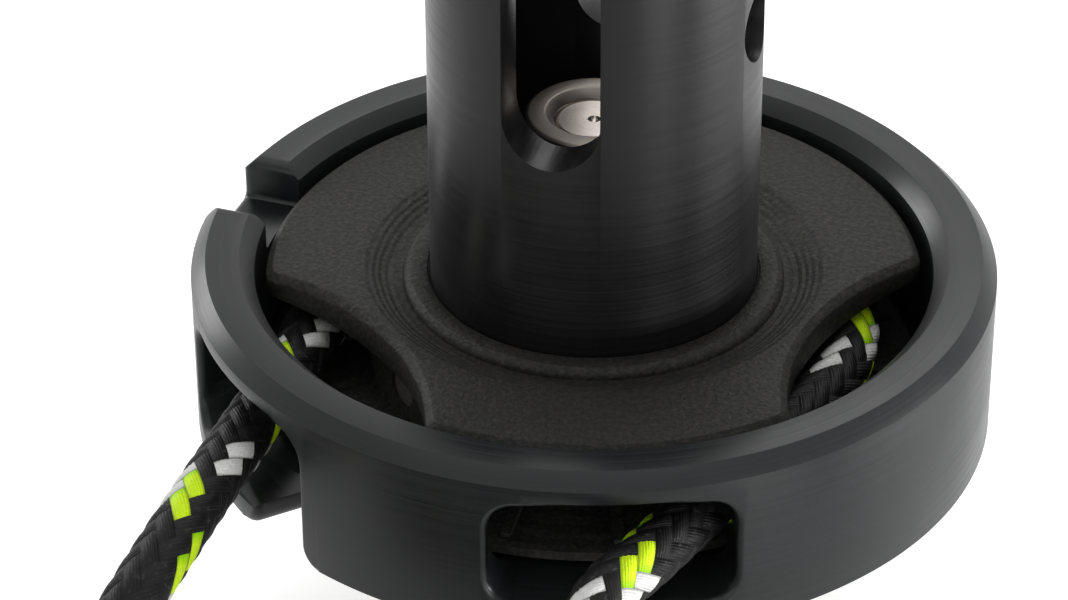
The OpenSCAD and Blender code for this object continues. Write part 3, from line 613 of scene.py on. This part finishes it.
# Straight run of a leg from the wrap, and the gap between its points
LEG_RUN, LEG_STEP = 30, 6
COIL, COIL_R, COIL_COLUMNS, COIL_ROWS = Vector((8, -94, 0)), 27.0, 5, 4
COIL_LOW, LAP_R, LAP_Z = -4.45, 36.0, 13.55
SIDES, PLAIT_DEPTH = 56, 0.16
# Distance from the axis within which the plait shows as shape, and the route's steps inside it and beyond
NEAR_R, NEAR_STEP, FAR_STEP = 60, 0.3, 1.5


def leg(heading, side, run):
    """Point on a leg that leaves the wrap at a tangent."""
    return polar(WRAP_R, heading + 90 * side, LINE_Z) + polar(run, heading)


def coil_points():
    """Turns in four layers, inwards and outwards in turn, from the coil's left side and back to it. The line
    crosses to its next place in the last part of each turn."""
    points, per_turn, crossing = [], 30, 0.22
    for turn in range(COIL_COLUMNS * COIL_ROWS):
        layer, step = divmod(turn, COIL_COLUMNS)
        inward = layer % 2 == 0
        column = COIL_COLUMNS - 1 - step if inward else step
        last = step == COIL_COLUMNS - 1
        column_to = column if last else column - 1 if inward else column + 1
        layer_to = layer + 1 if last else layer
        for i in range(per_turn):
            share = max(0.0, (i / per_turn - 1 + crossing) / crossing)
            share = share * share * (3 - 2 * share)
            r = COIL_R + LINE_D * (column + (column_to - column) * share - (COIL_COLUMNS - 1) / 2)
            z = COIL_LOW + LINE_D * (layer + (layer_to - layer) * share)
            points.append(polar(r, -90 + 360 * i / per_turn, z) + COIL)
    return points


def is_near(p):
    """Whether a point of the line is close enough to the drum to show its plait as shape."""
    return hypot(p[0], p[1]) < NEAR_R


def smooth(points):
    """Points along a curve through the given ones, close together near the drum."""
    out = []
    for i in range(len(points) - 1):
        p = [Vector(points[min(max(j, 0), len(points) - 1)]) for j in range(i - 1, i + 3)]
        count = ceil((p[2] - p[1]).length / (NEAR_STEP if is_near(p[1]) else FAR_STEP))
        for k in range(count):
            t = k / count
            out.append(0.5 * (2 * p[1] + (p[2] - p[0]) * t + (2 * p[0] - 5 * p[1] + 4 * p[2] - p[3]) * t * t
                              + (3 * p[1] - p[0] - 3 * p[2] + p[3]) * t ** 3))
    out.append(Vector(points[-1]))
    return out


def plait(u, v):
    """Height of the plaited strands from 0 to 1, as the cover's material draws them."""
    a, b = STRANDS * (u + v), STRANDS * (u - v)
    order = (floor(a) + floor(b)) % 4
    across, run = (a % 1, (order + b % 1) / 2) if order < 2 else (b % 1, (order - 2 + a % 1) / 2)
    return (1 - abs(2 * across - 1) ** STRAND_POWER) * (1 - STRAND_SINK * (2 * run - 1) ** 2)


def rope(name, route, first, last):
    """Line along a route in millimetres, with its UVs; first and last place its cover at the route's ends."""
    bm = bmesh.new()
    layer = bm.loops.layers.uv.new("plait")
    runs = [0.0]
    for near, far in zip(route, route[1:]):
        runs.append(runs[-1] + (far - near).length)
    length = runs[-1]
    slip = (last[1] - first[1] - length / LAY + 0.5) % 1 - 0.5
    turns = [first[0] + (last[0] - first[0]) * run / length for run in runs]
    lays = [first[1] + run / LAY + slip * run / length for run in runs]
    rings = []
    for i, p in enumerate(route):
        ahead = (route[min(i + 1, len(route) - 1)] - route[max(i - 1, 0)]).normalized()
        side = ahead.cross(Vector((0, 0, 1))).normalized()
        up = side.cross(ahead)
        ring = []
        for k in range(SIDES):
            dip = PLAIT_DEPTH * (1 - plait(k / SIDES + turns[i], lays[i])) if is_near(p) else PLAIT_DEPTH / 2
            angle = 2 * pi * k / SIDES
            ring.append(bm.verts.new((p + (LINE_D / 2 - dip) * (cos(angle) * side + sin(angle) * up)) * MM))
        rings.append(ring)
    for i in range(len(rings) - 1):
        for k in range(SIDES):
            n = (k + 1) % SIDES
            face = bm.faces.new((rings[i][k], rings[i + 1][k], rings[i + 1][n], rings[i][n]))
            corners = ((k, i), (k, i + 1), (k + 1, i + 1), (k + 1, i))
            for loop, (step, j) in zip(face.loops, corners):
                loop[layer].uv = (step / SIDES + turns[j], lays[j])
    for ring in (rings[0], rings[-1]):
        bm.faces.new(ring)
    obj = link(name, bm, LINE, 70)
    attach(obj, "frame")
    return obj, length


def make_line():
    lap_steps, wrap_steps = 30, 240
    left = [leg(LEFT_HEADING, -1, run) for run in range(0, LEG_RUN + 1, LEG_STEP)] + LEFT_POINTS
    lap = [polar(LAP_R, -90 + 180 * i / lap_steps, LAP_Z) + COIL for i in range(1, lap_steps + 1)]
    right = RIGHT_POINTS + [leg(RIGHT_HEADING, 1, run) for run in range(LEG_RUN, -1, -LEG_STEP)]
    route = smooth(left)[:-1] + coil_points() + lap[:-1] + smooth([lap[-1]] + right)
    turn = Matrix.Rotation(radians(EXIT_TURN), 3, "Z")
    route = [turn @ p for p in route]
    cord, length = rope("furling_line", route, LEFT_START, RIGHT_START)
    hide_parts("line_left_leg", "line_right_leg", "line_coil")
    sweep = 180 + LEFT_HEADING - RIGHT_HEADING
    headings = [RIGHT_HEADING + 90 + sweep * i / wrap_steps for i in range(wrap_steps + 1)]
    wrap = [turn @ polar(WRAP_R, heading, LINE_Z) for heading in headings]
    piece, _ = rope("line_in_groove", wrap, RIGHT_START, LEFT_START)
    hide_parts("line_wrap")
    return length


make_cage()
make_tube()
make_cheek()
make_nut()
make_spindle()
make_fork()
print("free line, mm:", round(make_line(), 1))

# Floor and world: white where they are seen or mirrored, at a plain level as light
FLOOR_GLOW, WORLD_LIGHT, WORLD_SEEN = 0.5, 0.45, 1.0


def seen_rays(put):
    """1 on rays from the camera and on those that a surface mirrors or lets through, 0 on all others."""
    path = put("LightPath").outputs
    mirrored = put("Math", {0: path["Is Glossy Ray"], 1: path["Is Transmission Ray"]}, operation="MAXIMUM")
    return put("Math", {0: path["Is Camera Ray"], 1: mirrored}, operation="MAXIMUM")


floor_mat, floor_shader, put = start("pale_floor", Base_Color=linear("#f2f2f2"), Roughness=0.9,
                                     Specular_IOR_Level=0.1)
glow = put("Math", {0: seen_rays(put), 1: FLOOR_GLOW}, operation="MULTIPLY")
feed(floor_shader, {"Emission Color": linear("#ffffff"), "Emission Strength": glow})
floor_bm = bmesh.new()
floor_place = Matrix.Translation((0, 0, GROUND_Z * MM))
bmesh.ops.create_grid(floor_bm, x_segments=1, y_segments=1, size=3.0, matrix=floor_place)
link("floor", floor_bm, floor_mat)

scene.world = bpy.data.worlds.new("studio")
scene.world.use_nodes = True
tree = scene.world.node_tree
tree.nodes.clear()
put = partial(add, tree)
strength = put("MapRange", {0: seen_rays(put), 3: WORLD_LIGHT, 4: WORLD_SEEN})
put("OutputWorld", {0: put("Background", {"Color": linear("#ffffff"), "Strength": strength})})


DRUM_MIDDLE = Vector((0, 0, 0.03))


def area(name, place, size, power):
    """Soft panel that faces the drum, in metres and watts."""
    lamp = bpy.data.objects.new(name, bpy.data.lights.new(name, "AREA"))
    scene.collection.objects.link(lamp)
    lamp.data.shape = "RECTANGLE"
    lamp.data.size, lamp.data.size_y = size
    lamp.data.energy = power
    lamp.visible_camera = False
    lamp.location = place
    lamp.rotation_euler = (DRUM_MIDDLE - Vector(place)).to_track_quat("-Z", "Y").to_euler()


area("top_panel", (-0.05, 0.0, 0.8), (0.8, 0.8), 1.75)
area("back_panel", (0.02, 0.4, 0.45), (0.3, 0.25), 0.75)
area("fill_panel", (-0.05, -0.6, 0.15), (0.4, 0.3), 0.45)
area("left_panel", (-0.537, 0.25, 0.16), (0.2, 0.2), 1.1)
area("right_panel", (0.585, 0.103, 0.016), (0.3, 0.045), 2.8)
area("front_panel", (0.5, -0.32, 0.016), (0.2, 0.045), 1.2)
